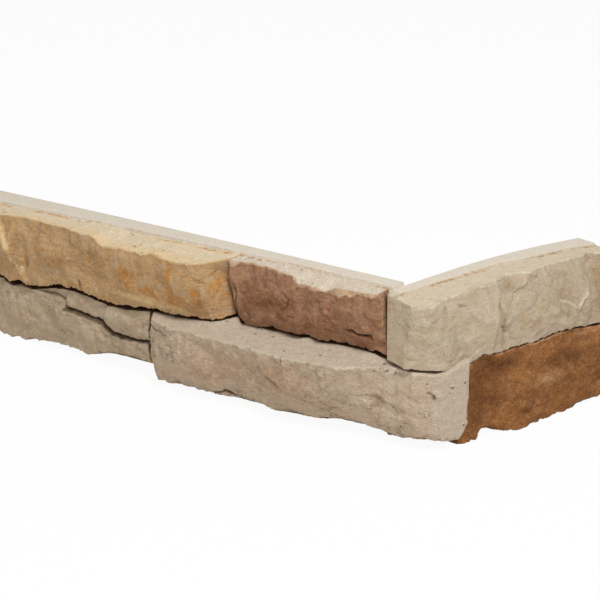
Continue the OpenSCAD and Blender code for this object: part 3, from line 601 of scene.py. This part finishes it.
# lower course, long leg: the grey stone
grey = {
    "leg": "long", "course": "lower", "from": 204.4, "to": 438.6, "easedEnd": 0.4, "warmDepth": 60, "seed": 31, "ragged": 1.2, "ledge": 0.1,
    "chiselled": 0.45, "fine": 1.0, "farTilt": -0.25, "roofPoints": 40, "nearMould": 0, "nearDark": 60,
    "paleBandAndHighlightWidths": [(204, -1), (440, -1)],
    "nearLine": [[8, 16, 22, 30, 37, 43, 50], [0, 0.9, 0.2, 0.6, 1.6, 0.4, 0.9]],
    "top": [(440, 42, 7), (371, 42, 6.5), (359, 42, 11), (336, 42, 9.5), (302, 42, 3), (288, 41, 3), (254, 40, 7),
            (228, 40, 6.5), (204, 41, 5)],
    "foot": [(440, 39, 2.2), (385, 39, 2.2), (360, 40, 1), (338, 38, 3.2), (312, 38, 6.3), (296, 38, 5.5), (275, 39, 4.6),
             (262, 38, 9), (245, 37, 13), (220, 37, 12), (204, 38.5, 12.4)],
    "sole": [(440, 28, 0), (360, 30, 0), (330, 22, 0), (285, 22, 0), (272, 14, 1), (204, 14, 1)],
    "swells": [(352, 26, 26, 18, 3), (240, 40, 30, 9, 2)],
    "steps": [{"line": [(200, 27.5), (208, 27), (228, 25.1), (248, 25.7), (260, 32.5), (275.7, 34.1), (296, 36.3)], "rise": -3.6, "soft": 0.5, "fade": 14, "open": 1},
              {"line": [(334, 45), (309, 43.5), (298, 40), (293, 33), (300, 20)], "rise": 2.2, "soft": 0.8, "fade": 12, "open": 0.5}],
    "cracks": [{"line": [(296.5, 38), (295.5, 36.2), (275.7, 34.1), (260, 32.5), (248, 25.9), (240, 25.0), (228, 25.1), (207, 27)], "depth": 5.0, "width": 1.0, "open": 0.45},
               {"line": [(334, 44.8), (310, 44.6), (298, 42.9), (296, 37)], "depth": 1.0, "width": 0.7}],
    "stain": [(340, 30, 40, 18, 0.6)],
    "tint": [(312, 30, 14, 16, 0.7), (376, 40, 40, 10, 0.9), (250, 18, 30, 6, 0.6)],
    # painted light on the lower part, which faces down
    "light": [(385, 14, 60, 9, 0.8)],
}
greyLook = {"fleckAmount": 0.15, "base": "#c5b197", "second": "#b8a185", "streak": "#a58f72", "streakAmount": 0.5, "cloud": "#c3b5a1", "cloudAmount": 0.5,
            "tint": "#8f7a5f", "tintAmount": 0.6, "chipAndHighlight": "#c7b8a0", "mould": "#c2b296", "mouldSecond": "#b5a184",
            "speck": "#a58a60", "speckAmount": 0.0, "grain": 0.15, "pitSpacing": 7.0, "pitsOnMould": 0.8, "pitsOnFace": 0.3, "hollowShade": "#54402b", "hairlines": 0.5}

# lower course, long leg: the rose-grey corner stone with its open ledge
rose = {
    "leg": "long", "course": "lower", "from": -47.6, "to": 201.4, "turning": 7, "seed": 43, "warmDepth": 70, "ragged": 1.2, "ledge": 0.2,
    "chiselled": 0.4, "fine": 1.1, "turn": -15.0, "turnDepth": -10.0, "turnHeight": 12.0, "nearMould": 0.9, "roofPoints": 56,
    "nearRagged": 0.4, "easedEnd": 2.4, "farMould": 0, "farDark": 38, "arrisFade": 5.0,
    # the pale band along the arris of the ledge is mostly a painted highlight
    "paleBandAndHighlightWidths": [(-50, 0), (-40, 1.2), (-20, 2.2), (0, 2), (20, 1.2), (40, 0.8), (60, 1.2), (85, 1.6), (110, 1.4), (125, 0.4), (150, 0.2), (175, 1), (202, 0)], "farLine": [[8, 16, 22, 30, 37, 43, 50], [-1.2, 0.2, -0.8, -0.4, 0.8, -0.5, -0.6]],
    "top": [(202, 39, 4.5), (199, 44, 4), (194, 49, 3.5), (186, 53, 4), (172, 56, 4.5), (125, 54, 4), (113, 55, 4), (96, 52, 4),
            (74, 54, 4), (46, 53, 4), (30, 51, 3.5), (12, 45, 3), (0, 37, 2), (-8, 32, 1.5), (-19, 29, 1),
            (-38, 26, 1), (-45, 22, 1.5), (-50, 16, 2)],
    "foot": [(202, 38, 2.5), (198, 41, 2.5), (190, 43, 3), (173, 43, 4), (144, 42, 4.5), (121, 41, 5.5), (111, 40, 7.5), (93, 40, 7.5),
             (80, 40, 5), (65, 38, 7.5), (49, 36, 5.5), (37, 35, 9), (17, 30, 9.5), (-1, 27, 9), (-5, 27, 7),
             (-28, 26, 6.5), (-36, 24, 9), (-43, 20, 7.5), (-50, 14, 6)],
    "sole": [(202, 26, 0), (80, 26, 0), (58, 22, 0), (40, 12, 1), (12, 12, 1), (0, 14, 0.8), (-14, 15, 0.6), (-19, 5, 0.5), (-30, 2, 0),
             (-41, -1, 2), (-50, -1.5, 4)],
    "swells": [(150, 24, 34, 18, 4), (100, 34, 22, 10, -2), (60, 28, 26, 16, 3), (-2, 34, 16, 14, -2)],
    "steps": [{"line": [(24, 34), (8, 31), (-6, 31.5), (-16, 28.8), (-8, 20)], "rise": -1.6, "soft": 0.9, "fade": 8}],
    "cracks": [{"line": [(197, 46), (192, 43), (182, 42), (170, 41)], "depth": 0.9, "width": 0.5},
               {"line": [(186, 45), (178, 41), (174, 36)], "depth": 0.7, "width": 0.5},
               {"line": [(140, 5), (126, 9), (113, 7)], "depth": 1.8, "width": 0.8},
               {"line": [(80, 33), (72, 30), (66, 26)], "depth": 0.8, "width": 0.5},
               {"line": [(-41, 39.5), (-44, 39.5), (-46, 38), (-47.5, 34.5)], "depth": 1.3, "width": 0.7}],
    "stain": [(110, 32, 70, 24, 1.0), (60, 34, 40, 20, 0.9), (140, 22, 40, 16, 0.7)],
    "tint": [(-4, 28, 10, 6, 0.9), (30, 18, 16, 8, 0.6), (60, 28, 50, 20, 0.7), (184, 40, 12, 6, 0.6), (120, 12, 30, 6, 0.5)],
}
roseLook = {"fleckAmount": 0.3, "base": "#c9b49e", "second": "#bca58d", "streak": "#b3906f", "streakAmount": 0.6, "cloud": "#c4b29c", "cloudAmount": 0.5,
            "tint": "#93714f", "tintAmount": 0.5, "chipAndHighlight": "#d1c2aa", "mould": "#c6b5a1", "mouldSecond": "#bfab95",
            "speck": "#b08a60", "speckAmount": 0.0, "grain": 0.17, "pitSpacing": 5.0, "pitsOnMould": 1.0, "pitsOnFace": 0.7, "hollowShade": "#5c4630", "hairlines": 0.6}

# lower course, short leg: the brown stone
brown = {
    "leg": "short", "course": "lower", "from": 1.8, "to": 188.6, "seed": 57, "ragged": 1.0, "ledge": 0.1,
    "chiselled": 0.35, "fine": 1.4, "farTilt": -0.25, "roofPoints": 40,
    "top": [(2, 42, 3), (14, 45, 1.5), (26, 45, -1.5), (46, 45, 0.5), (62, 45, 0), (87, 46, 1), (108, 46, -0.5),
            (129, 46, 0.2), (156, 46, 2.8), (190, 45, 2.5)],
    "foot": [(0, 47, 0.3), (8, 50, 0.3), (16, 50, 0.5), (20, 49, 4.5), (25, 50, 8), (34, 50, 7), (44, 54, 0.5), (52, 57, 0.3),
             (63, 57, 0.5), (79, 56, 0.3), (98, 54, 0.6), (112, 54, 0.8), (122, 53, 3), (132, 53, 3), (151, 51, 1.5), (190, 51, 1)],
    "sole": [(0, 40, 0), (25, 40, 0), (34, 34, 0), (44, 40, 0), (52, 50, 0), (190, 47, 0)],
    "swells": [(32, 30, 14, 16, 3), (60, 20, 12, 12, 4), (96, 30, 20, 12, 3), (128, 18, 18, 12, 3), (160, 34, 18, 14, 3), (40, 42, 26, 9, -3)],
    "steps": [{"line": [(150, 44), (120, 40), (92, 44), (74, 41)], "rise": 2.4, "soft": 2.0, "fade": 9}],
    # near the top, the stain and the tints at heights 39 to 46 are partly the stone's own brown stain and partly
    # painted shade under the cream stone's overhang
    "stain": [(43, 46, 24, 8, 1.0), (54, 24, 16, 10, 0.7), (120, 30, 20, 12, 0.5)],
    "tint": [(40, 44, 40, 13, 1.3), (20, 34, 26, 26, 1.5), (104, 39, 44, 9, 1.3), (150, 30, 44, 20, 0.7), (12, 14, 12, 20, 0.8)],
    # painted light: paler patches on the lit crests and on the rounded shoulder at the top, partly the paler sand of
    # the crests
    "light": [(88, 28, 34, 10, 1.0), (62, 14, 22, 8, 0.5), (140, 49, 50, 5, 0.8)],
}
brownLook = {"fleckAmount": 0.42, "base": "#976336", "second": "#80522d", "streak": "#70441f", "streakAmount": 0.7, "cloud": "#b38355", "cloudAmount": 0.6,
             "tint": "#673d1b", "tintAmount": 0.8, "chipAndHighlight": "#c49a6e", "mould": "#8a5c36", "mouldSecond": "#7a4c29",
             "speck": "#7a4c29", "speckAmount": 0.0, "grain": 0.3, "pitSpacing": 9.0, "pitsOnMould": 0.3, "pitsOnFace": 0.1, "hollowShade": "#4a2a12",
             "chipAndHighlightAmount": 0.6, "hairlines": 0.4}

stones = [
    ("ochre_stone", ochre, ochreLook, "yellow pigmented concrete"),
    ("russet_stone", russet, russetLook, "pink-brown pigmented concrete"),
    ("cream_stone", cream, creamLook, "cream pigmented concrete"),
    ("grey_stone", grey, greyLook, "grey pigmented concrete"),
    ("rose_stone", rose, roseLook, "rose pigmented concrete"),
    ("brown_stone", brown, brownLook, "brown pigmented concrete"),
]
# foot of the upper course in plan, from the long leg's end round the corner to the short leg's end:
# x, y, height, and the gap that stays open below it
footLine = ([(-a, -depth, layout["lowerHeight"] + rise, np.interp(a, [128, 142, 160, 200, 230], [0.8, 1.2, 1.6, 2.2, 3])) for a, depth, rise in ochre["foot"]]
            + [(-a, -depth, layout["lowerHeight"] + rise, 1.5) for a, depth, rise in russet["foot"]]
            + [(depth, a, layout["lowerHeight"] + rise, np.interp(a, [-26, 10, 60, 105, 130, 160], [1.2, 1, 1.6, 3, 3, 1.4])) for a, depth, rise in cream["foot"]])
for name, stone, look, finish in stones:
    makeStone(name, stone, pigmentedConcrete(finish, look))

backingLook = {"fleckAmount": 0.1, "base": "#d7cbba", "second": "#d2c3ad", "streak": "#c8ae88", "streakAmount": 0.1, "cloud": "#dacfbf", "cloudAmount": 0.4,
               "tint": "#c8b08c", "tintAmount": 0.2, "chipAndHighlight": "#dccfbd", "mould": "#d8cdbc", "mouldSecond": "#d2c5b1",
               "speck": "#c39a66", "speckAmount": 0.5, "grain": 0.08, "pitSpacing": 9.0, "pitsOnMould": 0.7, "pitsOnFace": 0.2, "hollowShade": "#7d6a50",
               "bump": 0.4, "hairlines": 0.15}


def makeBacking(name, leg, a0, a1, line, height, bow, nearTilt, material):
    # Box section lofted along the leg: bowed top, ragged pigment line at its front, eased lower edge
    length = layout["longLength"] if leg == "long" else layout["shortLength"]
    a = np.linspace(a0, a1, int((a1 - a0) / layout["gridStep"]) + 2)
    front = np.interp(a, [p[0] for p in line], [p[1] for p in line])
    ragged = 1.3 * wobble(a, 9, 2) + 1.0 * wobble(a, 3.1, 4) + 0.6 * wobble(a, 1.3, 6)
    crown = height + archedRise(a, length, bow)
    easedEdge = backing["easedEdge"]
    across = np.linspace(0, 1, 26)[None, :]
    topDepth = (front + ragged)[:, None] * across
    topHeight = np.broadcast_to(crown[:, None], topDepth.shape) + 0 * topDepth
    topHeight = topHeight - 0.5 * np.clip((across - 0.93) / 0.07, 0, 1)
    down = np.linspace(0, 1, 12)[None, 1:]
    frontDepth = front[:, None] - 1.5 + 0 * down
    frontHeight = crown[:, None] - 1.2 + (easedEdge - crown[:, None]) * down
    footDepth = np.stack([front - easedEdge, 0 * a], axis=1)
    footHeight = np.zeros(footDepth.shape)
    rearHeight = crown[:, None] * np.linspace(0, 1, 14)[None, 1:-1]
    depth = np.concatenate([topDepth, frontDepth, footDepth, 0 * rearHeight], axis=1)
    z = np.concatenate([topHeight, frontHeight, footHeight, rearHeight], axis=1)
    along = np.broadcast_to(a[:, None], depth.shape)
    nearLean = np.clip(1 - (along - a0) / layout["fadeLength"], 0, 1)
    farLean = np.clip(1 - (a1 - along) / layout["fadeLength"], 0, 1)
    shift = (nearTilt * nearLean - layout["endDraft"] * farLean) * depth
    rings = np.stack([along + shift, depth, z], axis=-1)
    onTop = np.zeros(depth.shape)
    onTop[:, 1:26] = 1
    rings[..., 2] += onTop * 0.25 * grainNoise(rings, 8.0, 4, 3)
    beside = onTop * np.exp(-((depth - front[:, None]) / 1.2) ** 2) * np.clip(0.5 + 2.2 * broadNoise(along / 26, 0 * along), 0, 1)
    tags = {"mould": np.ones(depth.shape), "crack": 0 * depth, "stain": 0 * depth, "tint": 0 * depth, "chipAndHighlight": 0 * depth,
            "sunk": 0 * depth, "gap": 0 * depth, "seam": beside}
    piece = makeMesh(name, placeOnLeg(rings, leg), material, tags)
    print(name, "made:", len(piece.data.polygons), "faces")
    return piece


backingMaterial = pigmentedConcrete("struck-off backing concrete", backingLook)
makeBacking("backing_long", "long", 0.0, 440.0, backing["longLine"], totalHeight, layout["longRise"], -0.25, backingMaterial)
makeBacking("backing_short", "short", -15.0, 190.0, backing["shortLine"], totalHeight - layout["seamStep"], layout["shortRise"], 0.0, backingMaterial)

# floor, light and camera
stage = {
    "camera": (0.91169, -1.04249, 0.45898), "azimuth": 44.0, "elevation": 14.96, "lens": 130.44,
    "keyPower": 34.0, "keyPlace": (0.88, -0.66, 2.0), "keySize": 0.5,
    "skyLevel": 0.44, "floorColour": "#f8f6f2", "floorShade": 0.06,
}


def raySeen(tree):  # 1 for a ray from the camera, a reflection or a transmission, the greatest of the three
    seen = addNode(tree, "LightPath", {}, "Is Camera Ray")
    for ray in ("Is Glossy Ray", "Is Transmission Ray"):
        seen = addNode(tree, "Math", {0: seen, 1: addNode(tree, "LightPath", {}, ray)}, operation="MAXIMUM")
    return seen


def makeStage():
    mesh = bpy.data.meshes.new("floor")
    half = 6.0
    mesh.from_pydata([(-half, -half, 0), (half, -half, 0), (half, half, 0), (-half, half, 0)], [], [(0, 1, 2, 3)])
    floor = bpy.data.objects.new("floor", mesh)
    bpy.context.collection.objects.link(floor)
    material = bpy.data.materials.new("white paper sweep")
    material.use_nodes = True
    tree = material.node_tree
    tree.nodes.clear()
    matt = addNode(tree, "BsdfDiffuse", {"Color": toLinear(stage["floorColour"])})
    white = addNode(tree, "Emission", {"Color": (1, 1, 1, 1), "Strength": 1.0})
    seen = raySeen(tree)
    amount = addNode(tree, "Math", {0: seen, 1: 1 - stage["floorShade"]}, operation="MULTIPLY")
    addNode(tree, "OutputMaterial", {"Surface": addNode(tree, "MixShader", {0: amount, 1: matt, 2: white})})
    mesh.materials.append(material)
    world = bpy.context.scene.world or bpy.data.worlds.new("studio")
    bpy.context.scene.world = world
    world.use_nodes = True
    tree = world.node_tree
    tree.nodes.clear()
    level = addNode(tree, "MapRange", {0: raySeen(tree), 1: 0.0, 2: 1.0, 3: stage["skyLevel"], 4: 1.0})
    addNode(tree, "OutputWorld", {"Surface": addNode(tree, "Background", {"Color": (1, 1, 1, 1), "Strength": level})})
    lamp = bpy.data.lights.new("softbox", "AREA")
    lamp.energy = stage["keyPower"]
    lamp.size = stage["keySize"]
    light = bpy.data.objects.new("softbox", lamp)
    light.location = stage["keyPlace"]
    bpy.context.collection.objects.link(light)
    target = np.array([-0.1, 0.0, 0.05]) - np.array(stage["keyPlace"])
    flat = math.hypot(target[0], target[1])
    light.rotation_euler = (math.atan2(flat, -target[2]), 0, math.atan2(-target[0], target[1]))
    lens = bpy.data.cameras.new("camera")
    lens.lens = stage["lens"]
    lens.sensor_width = 36.0
    lens.sensor_fit = "HORIZONTAL"
    camera = bpy.data.objects.new("camera", lens)
    camera.location = stage["camera"]
    camera.rotation_euler = (math.radians(90 - stage["elevation"]), 0, math.radians(stage["azimuth"]))
    bpy.context.collection.objects.link(camera)
    bpy.context.scene.camera = camera
    bpy.context.scene.view_settings.view_transform = "Standard"
    print("stage made")


makeStage()
